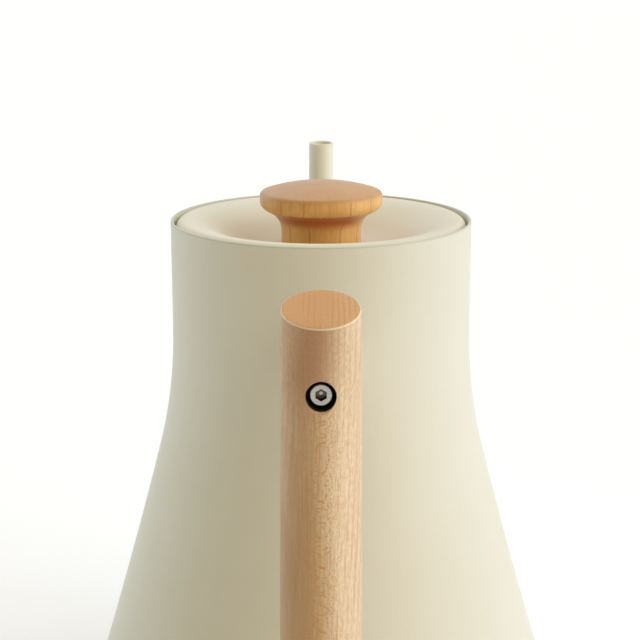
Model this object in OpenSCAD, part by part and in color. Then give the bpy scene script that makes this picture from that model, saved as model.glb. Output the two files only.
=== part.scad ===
// Gooseneck pour-over kettle for the stovetop. A coated steel body with a short straight neck
// stands on a sandwich base, a lift-off lid with a turned wooden knob sits flush inside the
// neck, and a bent wooden grip is screwed to a round arm that is welded to the neck.
// Frame: +Z up, origin at the middle of the base's underside, spout towards +Y, grip towards -Y.

/* [Body] */
// Height of the rim above the surface that the kettle stands on
rim_z = 148; // [140:1:180]
// Outer radius of the neck
neck_r = 42; // [38:0.5:52]
// Length of the straight neck below the rim
neck_h = 31; // [28:1:40]
// Radius of the hollow curve between the neck and the side
flare_curve = 140; // [110:5:180]
// Angle of the side from vertical where that curve ends
flare_angle = 14.5; // [11:0.5:18]
// Radius of the very slight hollow of the long side
side_curve = 1600; // [1200:50:2500]
// Radius of the rounded edge above the base
corner_r = 6; // [4:0.5:9]
// Thickness of the body's steel sheet
wall = 0.8; // [0.6:0.1:1.2]

/* [Base] */
// Width of the lip that is turned inward under the body
lip_w = 5; // [4:0.5:10]
// Thickness of the steel floor that is welded on the lip
floor_t = 0.8; // [0.6:0.1:1.2]
// Thickness of the aluminium heat disc
heat_t = 3; // [2:0.5:5]
// Thickness of the steel cap under the heat disc
cap_t = 0.8; // [0.5:0.1:1.2]

/* [Spout] */
// Height of the spout's inlet above the surface
inlet_z = 30; // [24:1:40]
// Diameter of the inlet hole in the body
inlet_d = 13; // [9:0.5:16]
// Outer diameter of the root cone at the body
root_d = 21; // [18:0.5:26]
// Length of the root cone
root_l = 16; // [12:1:24]
// Outer diameter of the tube at its lower end
tube_low_d = 12; // [10:0.5:15]
// Outer diameter of the tube at its tip
tube_tip_d = 8.2; // [7:0.2:9.8]
// Wall of the tube and of the root cone
tube_wall = 0.7; // [0.5:0.1:1]
// Bend radius where the tube turns up
low_bend = 20; // [16:1:28]
// Angle of the rising tube above horizontal
rise_angle = 82; // [76:1:86]
// Bend radius where the tube turns out to its tip
high_bend = 50; // [30:1:60]
// Angle of the tip above horizontal
tip_angle = 52; // [46:1:65]
// Height of the level cut tip above the rim
tip_rise = 5.6; // [0:0.1:12]

/* [Handle] */
// Clear space for the fingers between the neck and the grip
grip_gap = 25; // [20:1:32]
// Diameter of the grip
grip_d = 19.6; // [18:0.2:24]
// Diameter of the grip's flat cut top
grip_top_d = 19; // [16:0.2:19.6]
// Depth of the screw's axis below the rim
knee_drop = 26.8; // [22:0.2:32]
// Outward lean of the short upper part
top_lean = 15.8; // [8:0.2:20]
// Outward lean of the long lower part
low_lean = 17; // [10:0.5:22]
// Radius of the knee's centre line
knee_bend = 40; // [30:1:60]
// Length of the straight part above the knee
top_l = 9.5; // [6:0.5:14]
// Length of the straight part below the knee
low_l = 80; // [60:1:88]
// Radius of the grip's rounded lower edge
grip_end_r = 2.5; // [1:0.5:4]
// Outer diameter of the welded arm
arm_d = 14; // [13:0.5:15]
// Wall of the arm
arm_wall = 1.5; // [1:0.1:2]
// Depth of the arm's seat in the grip
arm_seat = 5.5; // [4:0.5:6.5]
// Depth of the screw's counterbore in the grip
counterbore_l = 5.3; // [4.5:0.1:6]

/* [Lid] */
// Gap between the lid and the inside of the neck
lid_gap = 0.65; // [0.4:0.05:1.2]
// Thickness of the pressed lid cover
lid_t = 0.8; // [0.6:0.1:1.2]
// Radius of the lid's rounded edge
lid_edge_r = 2.2; // [1.6:0.1:3]
// Depth of the dish in the lid
dish = 8; // [6:0.5:9]
// Radius of the flat in the middle of the dish
dish_floor_r = 15.5; // [15:0.5:18]
// Depth of the lid's lower pan below the rim
pan_drop = 17; // [16:0.5:22]
// Thickness of the lower pan
pan_t = 0.6; // [0.5:0.1:0.8]

/* [Knob] */
// Radius of the knob's head
knob_r = 17.15; // [16.5:0.05:19]
// Radius of the knob's stem
stem_r = 11.15; // [9.5:0.05:11.7]
// Height of the knob's top above the rim
knob_rise = 10.3; // [9.3:0.1:14]

/* [Hidden] */
$fn = 96;
arc_steps = 10;

// Clearance of a welded edge, a push fit or a screw in its thread
weld_gap = 0.05;
// Amount by which a cutting shape runs past the piece that it cuts
past = 1;

// Base: heights of its layers from the surface up, and where the lip ends
foot_z = cap_t + heat_t;
floor_z = foot_z + wall;

// Side: an arc from the neck, a far larger one down the side, then the rounded edge
flare_cr = neck_r + flare_curve;
flare_cz = rim_z - neck_h;
side_cr = flare_cr + (side_curve - flare_curve) * cos(flare_angle);
side_cz = flare_cz + (side_curve - flare_curve) * sin(flare_angle);
corner_angle = asin((side_cz - foot_z - corner_r) / (side_curve + corner_r));
corner_cr = side_cr - (side_curve + corner_r) * cos(corner_angle);
corner_cz = foot_z + corner_r;
lip_r = corner_cr - lip_w;

// Spout: its centre line in the plane of outward distance and height
inlet_angle = asin((side_cz - inlet_z) / side_curve);
inlet_p = [side_cr - side_curve * cos(inlet_angle), inlet_z];
root_end = inlet_p + root_l * heading(inlet_angle);
low_c = root_end + low_bend * heading(inlet_angle + 90);
low_end = low_c - low_bend * heading(rise_angle + 90);
high_rise = high_bend * (cos(tip_angle) - cos(rise_angle));
rise_l = (rim_z + tip_rise - high_rise - low_end[1]) / sin(rise_angle);
high_end = low_end + rise_l * heading(rise_angle)
    + high_bend * (heading(tip_angle + 90) - heading(rise_angle + 90));
// Turn of the bend that is swept past the middle of the level cut, and is cut away
tip_past_angle = tube_tip_d / high_bend * 180 / PI;

// Handle: its centre line in the plane of outward distance and height
knee_r = neck_r + grip_gap + grip_d / 2;
knee_z = rim_z - knee_drop;
knee_c = [knee_r + knee_bend, knee_z];
// The top is turned a hair thinner than the knee, and its form starts a little inside it
top_step = 0.05;
top_inside = 1;
socket_floor_r = knee_r - grip_d / 2 + arm_seat;
screw_seat_r = knee_r + grip_d / 2 - counterbore_l;

// Hex socket screw of the grip, its washer and its locating pin
m3_d = 3;
m3_head_d = 5.5;
m3_head_h = 3;
m3_hex = 2.5;
m3_hex_l = 1.6;
m3_l = 20;
m3_washer_d = 7;
m3_washer_t = 0.5;
counterbore_d = 7.2;
screw_clear_d = 3.4;
plug_l = 14;
pin_d = 2;
pin_l = 8;
pin_offset = 3.6;

// Lid: it rests on a ring inside the neck and everything on it is placed from the rim
neck_in_r = neck_r - wall;
lid_r = neck_in_r - lid_gap;
crown_r = lid_r - lid_edge_r;
lid_skirt = 5;
dish_z = rim_z - dish;
pan_z = rim_z - pan_drop;
pan_r = lid_r - lid_t - 1.55;
pan_corner_r = 1.5;
crown_gap = 0.1;
seat_gap = 0.05;
seat_z = pan_z - seat_gap;
seat_w = 5;
seat_t = 0.8;
seat_h = 5;
gasket_clear = 0.25;
gasket_t = 1.1;
gasket_h = 6;
gasket_lip_t = 1;
gasket_low_z = pan_z + 2.5;

// Knob: a dome on a rounded edge, with a cove down to the stem
knob_pad_t = 1;
knob_z = dish_z + knob_pad_t;
knob_band_z = rim_z + 5.2;
knob_band_h = 1.15;
knob_low_r = 3;
knob_top_r = 1.45;
cove_r = 5.85;
cove_angle = 62;
dome_rise = rim_z + knob_rise - knob_band_z - knob_band_h - knob_top_r;
dome_angle = 2 * atan(dome_rise / (knob_r - knob_top_r));
dome_r = (knob_r - knob_top_r) / sin(dome_angle) + knob_top_r;
knob_low_start_r = knob_r - knob_low_r * (1 - cos(cove_angle));
cove_end_r = stem_r + cove_r * (1 - cos(cove_angle));
cove_end_z = knob_band_z - knob_low_r * sin(cove_angle)
    - (knob_low_start_r - cove_end_r) / tan(cove_angle);

// Screw of the knob, with its insert, washer and spacer
m4_d = 4;
m4_head_d = 8;
m4_head_h = 2.4;
m4_hex = 2.5;
m4_hex_l = 1.4;
m4_clear_d = 4.4;
m4_washer_d = 9;
m4_washer_t = 0.8;
insert_d = 6;
insert_l = 10;
insert_bore_l = 11;
// The screw runs from its washer to a little past the insert, however deep the lid is
m4_tip_l = 0.2;
m4_l = m4_washer_t + knob_z - pan_z + insert_l + m4_tip_l;
spacer_d = 9;

// Steam whistle in the lid's pan, and the vents under the knob's head
whistle_y = 21;
whistle_d = 15;
whistle_t = 0.6;
whistle_top_z = pan_z + 4.5;
whistle_bottom_z = pan_z - 7;
whistle_flange_d = 19;
whistle_flange_t = 0.6;
whistle_disc_t = 0.5;
whistle_gap = 2.5;
whistle_hole_d = 2.2;
vent_d = 2.6;
vent_ring_r = stem_r + 2.6;
vent_angles = [60, 90, 120];

// Colours
cream = [0.89, 0.86, 0.76];
steel = [0.72, 0.73, 0.74];
aluminium = [0.80, 0.81, 0.83];
brass = [0.80, 0.66, 0.36];
silicone = [0.86, 0.86, 0.84];
maple = [0.84, 0.66, 0.44];
knob_wood = [0.78, 0.56, 0.33];

function heading(a) = [cos(a), sin(a)];
function arc(c, r, a0, a1) = [for (i = [0 : arc_steps]) c + r * heading(a0 + (a1 - a0) * i / arc_steps)];
function flip(points) = [for (i = [len(points) - 1 : -1 : 0]) points[i]];

// Outline of the body from the neck down to the lip, moved inward by a distance
function side_line(inward) = concat(
    arc([flare_cr, flare_cz], flare_curve + inward, 180, 180 + flare_angle),
    arc([side_cr, side_cz], side_curve + inward, 180 + flare_angle, 180 + corner_angle),
    arc([corner_cr, corner_cz], corner_r - inward, corner_angle, -90),
    [[lip_r, foot_z + inward]]
);

// Height of the lid cover's upper face at a radius: level, then a smooth S down to the floor
function dish_line(r) =
    rim_z - dish * (1 - cos(180 * (crown_r - max(r, dish_floor_r)) / (crown_r - dish_floor_r))) / 2;
function dish_points(drop) =
    [for (i = [0 : 2 * arc_steps])
        let (r = dish_floor_r + (crown_r - dish_floor_r) * i / (2 * arc_steps)) [r, dish_line(r) - drop]];

// Turns a drawing of outward distance and height so that it stands towards +Y, or towards -Y
module to_front() rotate([90, 0, 90]) children();
module to_back() rotate([90, 0, -90]) children();
// Lays an upright piece from a point along a direction of such a drawing
module run(p, a) translate([p[0], p[1], 0]) rotate([0, 90, a]) children();
// Sweeps a section of a path around a centre, from a polar angle through a turn
module bend(c, r, a, turn) translate([c[0], c[1], 0]) rotate(a) rotate_extrude(angle = turn)
    translate([r, 0]) children();
module ring(d, inner_d) difference() {
    circle(d = d);
    circle(d = inner_d);
}
module tube(h, d, inner_d) linear_extrude(h) ring(d, inner_d);
module cone_tube(h, d0, d1, t) difference() {
    cylinder(h = h, d1 = d0, d2 = d1);
    cylinder(h = h, d1 = d0 - 2 * t, d2 = d1 - 2 * t);
}
// The body's outer form as a solid, grown by the clearance of a weld
module body_form() rotate_extrude() polygon(concat(
    [[0, foot_z], [0, rim_z]], [[neck_r + weld_gap, rim_z]], side_line(-weld_gap)));

module body_shell() color(cream) difference() {
    rotate_extrude() polygon(concat(
        arc([neck_r - wall / 2, rim_z - wall / 2], wall / 2, 180, 0),
        side_line(0), flip(side_line(wall))));
    to_front() run(inlet_p, inlet_angle) translate([0, 0, -inlet_d])
        cylinder(h = 2 * inlet_d, d = inlet_d);
}

module bottom_pan() color(steel) translate([0, 0, floor_z]) cylinder(h = floor_t, r = corner_cr);

module heat_disc() color(aluminium) translate([0, 0, cap_t])
    cylinder(h = heat_t + wall - weld_gap, r = lip_r - cap_t - 2 * weld_gap);

module base_cap() color(steel) difference() {
    cylinder(h = foot_z, r = lip_r - weld_gap);
    translate([0, 0, cap_t]) cylinder(h = foot_z, r = lip_r - weld_gap - cap_t);
}

module spout_root() color(cream) difference() {
    to_front() run(inlet_p, inlet_angle) translate([0, 0, -root_l])
        cone_tube(2 * root_l - weld_gap, 2 * root_d - tube_low_d, tube_low_d, tube_wall);
    body_form();
}

module spout_tube() color(cream) to_front() difference() {
    translate([low_end[0], low_end[1], 0]) rotate(rise_angle) {
        bend([0, low_bend], low_bend, -90, inlet_angle - rise_angle)
            ring(tube_low_d, tube_low_d - 2 * tube_wall);
        rotate([0, 90, 0]) cone_tube(rise_l, tube_low_d, tube_tip_d, tube_wall);
        bend([rise_l, -high_bend], high_bend, 90, tip_angle - rise_angle - tip_past_angle)
            ring(tube_tip_d, tube_tip_d - 2 * tube_wall);
    }
    translate([high_end[0] - 2 * tube_tip_d, rim_z + tip_rise, -tube_tip_d])
        cube([4 * tube_tip_d, 2 * tube_tip_d, 2 * tube_tip_d]);
}

module lid_seat_ring() color(steel) translate([0, 0, seat_z]) rotate_extrude() polygon([
    [pan_r - seat_w, 0], [neck_in_r - weld_gap, 0], [neck_in_r - weld_gap, -seat_h],
    [neck_in_r - weld_gap - seat_t, -seat_h], [neck_in_r - weld_gap - seat_t, -seat_t],
    [pan_r - seat_w, -seat_t]]);

module handle_arm() color(cream) difference() {
    to_back() run([neck_in_r, knee_z], 0)
        tube(socket_floor_r - weld_gap - neck_in_r, arm_d, arm_d - 2 * arm_wall);
    body_form();
}

module pin_hole(r, l, d) to_back() run([r, knee_z + pin_offset], 0) cylinder(h = l, d = d);

module arm_plug() color(steel) difference() {
    to_back() run([socket_floor_r - weld_gap - plug_l, knee_z], 0)
        tube(plug_l, arm_d - 2 * arm_wall - 2 * weld_gap, m3_d + 2 * weld_gap);
    pin_hole(socket_floor_r - pin_l / 2, pin_l, pin_d + 2 * weld_gap);
}

module grip_pin() color(steel) pin_hole(socket_floor_r - pin_l / 2 + weld_gap, pin_l - 2 * weld_gap, pin_d);

module handle_grip() color(maple) difference() {
    to_back() translate([knee_c[0], knee_c[1], 0]) rotate(180 + low_lean) {
        bend([0, 0], knee_bend, 0, -top_lean - low_lean) circle(d = grip_d);
        translate([knee_bend, 0, 0]) rotate([-90, 0, 0]) rotate_extrude() polygon(concat(
            [[0, 0], [grip_d / 2, 0]],
            arc([grip_d / 2 - grip_end_r, low_l - grip_end_r], grip_end_r, 0, 90),
            [[0, low_l]]));
        rotate(-top_lean - low_lean) translate([knee_bend, 0, 0]) rotate([90, 0, 0]) {
            translate([0, 0, -top_inside]) cylinder(h = top_inside, d = grip_d - 2 * top_step);
            cylinder(h = top_l, d1 = grip_d - 2 * top_step, d2 = grip_top_d);
        }
    }
    to_back() {
        run([screw_seat_r, knee_z], 0) cylinder(h = counterbore_l + past, d = counterbore_d);
        run([knee_r - grip_d, knee_z], 0) cylinder(h = 2 * grip_d, d = screw_clear_d);
        run([socket_floor_r - grip_d, knee_z], 0) cylinder(h = grip_d, d = arm_d + 2 * weld_gap);
    }
    pin_hole(socket_floor_r - pin_l / 2, pin_l, pin_d + 2 * weld_gap);
}

module handle_washer() color(steel) to_back() run([screw_seat_r, knee_z], 0)
    tube(m3_washer_t, m3_washer_d, m3_d + 2 * weld_gap);

module handle_screw() color(steel) to_back() run([screw_seat_r + m3_washer_t, knee_z], 0) difference() {
    union() {
        cylinder(h = m3_head_h, d = m3_head_d);
        translate([0, 0, -m3_l]) cylinder(h = m3_l, d = m3_d);
    }
    translate([0, 0, m3_head_h - m3_hex_l]) cylinder(h = m3_hex_l + past, d = m3_hex / cos(30), $fn = 6);
}

module lid_top() color(cream) difference() {
    rotate_extrude() polygon(concat(
        [[0, dish_z]], dish_points(0),
        arc([crown_r, rim_z - lid_edge_r], lid_edge_r, 90, 0),
        [[lid_r, rim_z - lid_skirt], [lid_r - lid_t, rim_z - lid_skirt]],
        arc([crown_r, rim_z - lid_edge_r], lid_edge_r - lid_t, 0, 90),
        flip(dish_points(lid_t)), [[0, dish_z - lid_t]]));
    translate([0, 0, dish_z - dish]) cylinder(h = 2 * dish, d = m4_clear_d);
    for (a = vent_angles) rotate(a) translate([vent_ring_r, 0, dish_z - dish])
        cylinder(h = 2 * dish, d = vent_d);
}

module lid_pan() color(steel) difference() {
    rotate_extrude() polygon(concat(
        [[0, pan_z], [pan_r - pan_corner_r, pan_z]],
        arc([pan_r - pan_corner_r, pan_z + pan_corner_r], pan_corner_r, -90, 0),
        [[pan_r, rim_z - lid_t - crown_gap], [pan_r - pan_t, rim_z - lid_t - crown_gap]],
        arc([pan_r - pan_corner_r, pan_z + pan_corner_r], pan_corner_r - pan_t, 0, -90),
        [[0, pan_z + pan_t]]));
    translate([0, 0, pan_z - past]) cylinder(h = pan_t + 2 * past, d = m4_clear_d);
    translate([0, whistle_y, pan_z - past]) cylinder(h = pan_t + 2 * past, d = whistle_d + 2 * weld_gap);
}

module lid_spacer() color(steel) translate([0, 0, pan_z + pan_t])
    tube(dish_z - lid_t - pan_z - pan_t - weld_gap, spacer_d, m4_clear_d);

module lid_gasket() color(silicone) translate([0, 0, gasket_low_z]) rotate_extrude() {
    translate([pan_r + weld_gap, 0]) square([gasket_t, gasket_h]);
    for (z = [gasket_lip_t, gasket_h - 2 * gasket_lip_t]) translate([pan_r + weld_gap, z])
        polygon([[0, 0], [neck_in_r - gasket_clear - pan_r - weld_gap, gasket_lip_t],
            [neck_in_r - gasket_clear - pan_r - weld_gap, 1.4 * gasket_lip_t], [0, 1.4 * gasket_lip_t]]);
}

module knob_gasket() color(silicone) translate([0, 0, dish_z])
    tube(knob_pad_t - weld_gap, 2 * stem_r - 1.2, m4_clear_d);

module lid_knob() color(knob_wood) difference() {
    rotate_extrude() polygon(concat(
        [[0, knob_z], [stem_r, knob_z]],
        arc([stem_r + cove_r, cove_end_z - cove_r * sin(cove_angle)], cove_r, 180, 180 - cove_angle),
        arc([knob_r - knob_low_r, knob_band_z], knob_low_r, -cove_angle, 0),
        arc([knob_r - knob_top_r, knob_band_z + knob_band_h], knob_top_r, 0, 90 - dome_angle),
        arc([0, rim_z + knob_rise - dome_r], dome_r, 90 - dome_angle, 90)));
    translate([0, 0, knob_z - past]) cylinder(h = insert_bore_l + past, d = insert_d + 2 * weld_gap);
}

module knob_insert() color(brass) translate([0, 0, knob_z])
    tube(insert_l, insert_d, m4_d + 2 * weld_gap);

module knob_washer() color(steel) translate([0, 0, pan_z - m4_washer_t])
    tube(m4_washer_t, m4_washer_d, m4_clear_d);

module knob_screw() color(steel) translate([0, 0, pan_z - m4_washer_t]) difference() {
    union() {
        cylinder(h = m4_l, d = m4_d);
        translate([0, 0, -m4_head_h]) cylinder(h = m4_head_h, d = m4_head_d);
    }
    translate([0, 0, -m4_head_h - past]) cylinder(h = m4_hex_l + past, d = m4_hex / cos(30), $fn = 6);
}

module whistle_tube() color(steel) translate([0, whistle_y, 0]) {
    translate([0, 0, whistle_bottom_z])
        tube(whistle_top_z - whistle_bottom_z, whistle_d, whistle_d - 2 * whistle_t);
    translate([0, 0, pan_z - whistle_flange_t])
        tube(whistle_flange_t, whistle_flange_d, whistle_d);
}

module whistle_disc(z) color(brass) translate([0, whistle_y, z])
    tube(whistle_disc_t, whistle_d - 2 * whistle_t - 2 * weld_gap, whistle_hole_d);

module whistle_upper_disc() whistle_disc(pan_z - whistle_disc_t);

module whistle_lower_disc() whistle_disc(pan_z - 2 * whistle_disc_t - whistle_gap);

body_shell();
bottom_pan();
heat_disc();
base_cap();
spout_root();
spout_tube();
lid_seat_ring();
handle_arm();
arm_plug();
grip_pin();
handle_grip();
handle_washer();
handle_screw();
lid_top();
lid_pan();
lid_spacer();
lid_gasket();
knob_gasket();
lid_knob();
knob_insert();
knob_washer();
knob_screw();
whistle_tube();
whistle_upper_disc();
whistle_lower_disc();
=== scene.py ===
import math

import bmesh
import bpy
import numpy as np
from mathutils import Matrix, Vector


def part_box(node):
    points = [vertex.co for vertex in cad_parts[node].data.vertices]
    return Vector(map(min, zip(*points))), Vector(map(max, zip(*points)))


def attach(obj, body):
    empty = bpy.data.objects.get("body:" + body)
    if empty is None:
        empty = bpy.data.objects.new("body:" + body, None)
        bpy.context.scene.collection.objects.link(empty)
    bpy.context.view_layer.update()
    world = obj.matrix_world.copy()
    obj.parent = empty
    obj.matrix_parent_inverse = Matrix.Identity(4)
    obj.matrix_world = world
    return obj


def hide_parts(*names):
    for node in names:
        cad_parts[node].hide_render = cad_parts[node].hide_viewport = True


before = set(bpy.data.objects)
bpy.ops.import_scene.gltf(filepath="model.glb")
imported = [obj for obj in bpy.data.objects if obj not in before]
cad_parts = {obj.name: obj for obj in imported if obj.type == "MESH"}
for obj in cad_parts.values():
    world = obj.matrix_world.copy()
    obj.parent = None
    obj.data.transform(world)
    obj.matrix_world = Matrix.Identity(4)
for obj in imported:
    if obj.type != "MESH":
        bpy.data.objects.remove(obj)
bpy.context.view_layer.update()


# Camera: a short telephoto behind the handle, a little above the rim and looking gently down.
rim_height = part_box("body_shell")[1].z
camera_distance = 0.4691
camera_above_rim = 0.0865
camera_tilt = 13.89
lens = bpy.data.cameras.new("camera")
lens.sensor_width = 36
lens.lens = 95.6
lens.shift_x = -0.0017
lens.clip_start = 0.01
lens.clip_end = 60
camera = bpy.data.objects.new("camera", lens)
camera.location = (0, -camera_distance, rim_height + camera_above_rim)
camera.rotation_euler = (math.radians(90 - camera_tilt), 0, 0)
bpy.context.collection.objects.link(camera)
bpy.context.scene.camera = camera
bpy.context.scene.view_settings.view_transform = "Standard"


# Studio: a wide white floor under a soft sky, which is a sum of soft patches, each a power of the cosine
# to its middle. Daylight comes from the right, from behind at the left and from high up behind, and the
# ceiling is warm. A patch's heading is 0 on the camera's side and 90 at +X.
floor_radius = 9.0
floor_steps = 96
floor_white = (0.93, 0.935, 0.96, 1)
sky_patches = (
    # heading, height above the horizon, narrowness, colour
    (-135, 15, 4, (0.94, 1.17, 1.45)),
    (-120, 15, 16, (0.80, 1.20, 1.50)),
    (90, 15, 4, (1.40, 1.75, 2.40)),
    (70, 15, 16, (1.40, 1.50, 1.70)),
    (90, 15, 16, (0.50, 0.50, 0.40)),
    (50, 15, 16, (0.95, 0.86, 0.46)),
    (45, 15, 4, (0.42, 0.22, 0.02)),
    (180, 53, 6, (1.22, 1.15, 1.50)),
    (0, 90, 2, (0.86, 0.74, 0.30)),
)


def add(tree, kind, inputs=None, **settings):
    """Adds a shader node. Each setting is given by name, and each input takes a value or a link."""
    made = tree.nodes.new("ShaderNode" + kind)
    for key, value in settings.items():
        setattr(made, key, value)
    for key, value in (inputs or {}).items():
        if isinstance(value, bpy.types.NodeSocket):
            tree.links.new(value, made.inputs[key])
        else:
            made.inputs[key].default_value = value
    return made


def mixed(tree, factor, first, second):
    """Colour between two others: first where the factor is 0, second where it is 1."""
    return add(tree, "Mix", {0: factor, 6: first, 7: second}, data_type="RGBA").outputs[2]


def ramped(tree, value, low, high, out_low=0.0, out_high=1.0):
    """Takes a value from its low..high range to the out range along a smooth S curve."""
    return add(tree, "MapRange", {0: value, 1: low, 2: high, 3: out_low, 4: out_high},
               interpolation_type="SMOOTHSTEP").outputs[0]


sky = bpy.data.worlds.new("sky")
sky.use_nodes = True
sky_tree = sky.node_tree
sky_ray = add(sky_tree, "TexCoord").outputs["Generated"]
sky_sum = (0, 0, 0)
for azimuth, height, narrowness, colour in sky_patches:
    azimuth, height = math.radians(azimuth), math.radians(height)
    middle = (math.sin(azimuth) * math.cos(height), -math.cos(azimuth) * math.cos(height), math.sin(height))
    cosine = add(sky_tree, "VectorMath", {0: sky_ray, 1: middle}, operation="DOT_PRODUCT").outputs["Value"]
    above = add(sky_tree, "Math", {0: cosine, 1: 0}, operation="MAXIMUM").outputs[0]
    patch = add(sky_tree, "Math", {0: above, 1: narrowness}, operation="POWER").outputs[0]
    tinted = add(sky_tree, "VectorMath", {0: colour, "Scale": patch}, operation="SCALE").outputs[0]
    sky_sum = add(sky_tree, "VectorMath", {0: sky_sum, 1: tinted}, operation="ADD").outputs[0]
sky_tree.links.new(sky_sum, sky_tree.nodes["Background"].inputs["Color"])
bpy.context.scene.world = sky

floor_angle = np.linspace(0, 2 * np.pi, floor_steps, endpoint=False)
floor_ring = np.stack([np.cos(floor_angle), np.sin(floor_angle), 0 * floor_angle], axis=1) * floor_radius
floor_mesh = bpy.data.meshes.new("floor")
floor_mesh.from_pydata(floor_ring.tolist(), [], [list(range(floor_steps))])
floor = bpy.data.objects.new("floor", floor_mesh)
bpy.context.collection.objects.link(floor)
floor_paint = bpy.data.materials.new("floor_paint")
floor_paint.use_nodes = True
floor_paint.node_tree.nodes["Principled BSDF"].inputs["Base Color"].default_value = floor_white
floor_paint.node_tree.nodes["Principled BSDF"].inputs["Roughness"].default_value = 0.9
floor_mesh.materials.append(floor_paint)


# Body: one stainless sheet, drawn and spun into a short straight neck over a wide cone, with a rolled rim
# and a lip turned in under it. A matt cream powder coat covers its outside and runs over the rim and a
# little way down inside. Shapes are sized in millimetres, and patterns in materials in metres.
MM = 0.001
neck_r = 42.0
neck_h = 31.0
flare_curve = 140.0
flare_angle = math.radians(14.5)
side_curve = 1600.0
corner_r = 6.0
wall = 0.8
lip_w = 5.0
coat_t = 0.14
coat_inset = 0.02
coat_inside = 3.0
inlet_z = 30.0
inlet_d = 13.0
rim_z = rim_height / MM
foot_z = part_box("body_shell")[0].z / MM
flare_centre = (neck_r + flare_curve, rim_z - neck_h)
side_centre = (flare_centre[0] + (side_curve - flare_curve) * math.cos(flare_angle),
               flare_centre[1] + (side_curve - flare_curve) * math.sin(flare_angle))
corner_angle = math.asin((side_centre[1] - foot_z - corner_r) / (side_curve + corner_r))
corner_centre = (side_centre[0] - (side_curve + corner_r) * math.cos(corner_angle), foot_z + corner_r)
flare_end_z = flare_centre[1] - flare_curve * math.sin(flare_angle)
sharp_angle = math.radians(38)


def arc(centre, radius, start, end, steps=12):
    """Points on a circle: centre + radius (cos a, sin a), with a going from start to end degrees."""
    a = np.radians(np.linspace(start, end, steps + 1))
    return np.stack([centre[0] + radius * np.cos(a), centre[1] + radius * np.sin(a)], axis=1)


def side_line(inward):
    """The body's side from the neck to the lip, moved inward: the flare's arc, the side's far larger
    arc, the rounded edge above the base, and the end of the lip."""
    flare, corner = math.degrees(flare_angle), math.degrees(corner_angle)
    return np.concatenate([
        arc(flare_centre, flare_curve + inward, 180, 180 + flare, 28),
        arc(side_centre, side_curve + inward, 180 + flare, 180 + corner, 40),
        arc(corner_centre, corner_r - inward, corner, -90, 14),
        [[corner_centre[0] - lip_w, foot_z + inward]]])


def body_radius(z):
    """Outer radius of the body at a height: the neck's, else centre minus the root of radius squared
    less height squared, for the flare's circle and then for the side's."""
    flare = flare_centre[0] - np.sqrt(flare_curve**2 - np.clip(flare_centre[1] - z, 0, 60)**2)
    side = side_centre[0] - np.sqrt(side_curve**2 - (side_centre[1] - z)**2)
    return np.where(z >= flare_end_z, flare, side)


def turned(outline, steps=192, stretch=1.0):
    """Grid of an outline of (radius, height) carried round the Z axis: (r cos a, r sin a, z). The
    stretch multiplies r, and may differ from point to point."""
    a = np.linspace(0, 2 * np.pi, steps, endpoint=False)
    r = np.asarray(outline)[:, :1] * stretch + 0 * a
    z = np.asarray(outline)[:, 1:] + 0 * a
    return np.stack([r * np.cos(a), r * np.sin(a), z], axis=2)


def smoothed(mesh):
    """Shades a mesh smooth and keeps its hard edges."""
    mesh.shade_smooth()
    mesh.set_sharp_from_angle(angle=sharp_angle)


def skinned(name, grid, loop=True):
    """Lays quads over a grid of points. Each row closes on itself, and with loop the last row meets
    the first. Points that fall together are merged, and the faces are turned outwards."""
    rows, columns = grid.shape[:2]
    index = np.arange(rows * columns).reshape(rows, columns)
    low = index if loop else index[:-1]
    high = np.roll(index, -1, axis=0) if loop else index[1:]
    quads = np.stack([low, high, np.roll(high, -1, axis=1), np.roll(low, -1, axis=1)], axis=2)
    mesh = bpy.data.meshes.new(name)
    mesh.from_pydata((grid.reshape(-1, 3) * MM).tolist(), [], quads.reshape(-1, 4).tolist())
    work = bmesh.new()
    work.from_mesh(mesh)
    bmesh.ops.remove_doubles(work, verts=work.verts, dist=1e-7)
    bmesh.ops.recalc_face_normals(work, faces=work.faces)
    work.to_mesh(mesh)
    work.free()
    smoothed(mesh)
    piece = bpy.data.objects.new(name, mesh)
    bpy.context.collection.objects.link(piece)
    return piece


def stood(grid, foot, lean):
    """Lays an upright grid so that its height runs from a foot (y, z) along the heading (y, z)."""
    along = np.array([0, lean[0], lean[1]])
    across = np.array([0, lean[1], -lean[0]])
    start = np.array([0, foot[0], foot[1]])
    return start + grid[..., :1] * np.array([1, 0, 0]) + grid[..., 1:2] * across + grid[..., 2:] * along


def rod(radius, low, high, steps=64):
    """Grid of a plain round bar from one height to another."""
    return turned([(0, low), (radius, low), (radius, high), (0, high)], steps)


def drilled(piece, *bits):
    """Takes each bit, a closed grid, out of a piece."""
    cutters = [skinned("bit", bit, loop=False) for bit in bits]
    for cutter in cutters:
        cut = piece.modifiers.new("cut", "BOOLEAN")
        cut.operation = "DIFFERENCE"
        cut.solver = "EXACT"
        cut.object = cutter
    bpy.context.view_layer.update()
    mesh = bpy.data.meshes.new_from_object(piece.evaluated_get(bpy.context.evaluated_depsgraph_get()))
    piece.modifiers.clear()
    piece.data = mesh
    smoothed(mesh)
    for cutter in cutters:
        bpy.data.objects.remove(cutter)
    return piece


def fitted(piece, body, material, slot, *nodes):
    """Gives a made piece its material and its body, and hides the nodes it stands for. The slot is not
    used.
    """
    piece.data.materials.clear()
    piece.data.materials.append(material)
    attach(piece, body)
    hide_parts(*nodes)


def dressed(node, material):
    """Gives a carried-over node its material."""
    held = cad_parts[node]
    held.data.materials.clear()
    held.data.materials.append(material)


def new_material(name):
    """A new material, with its node tree, its principled shader and its Object coordinates."""
    material = bpy.data.materials.new(name)
    material.use_nodes = True
    tree = material.node_tree
    return material, tree, tree.nodes["Principled BSDF"], add(tree, "TexCoord").outputs["Object"]


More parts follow.
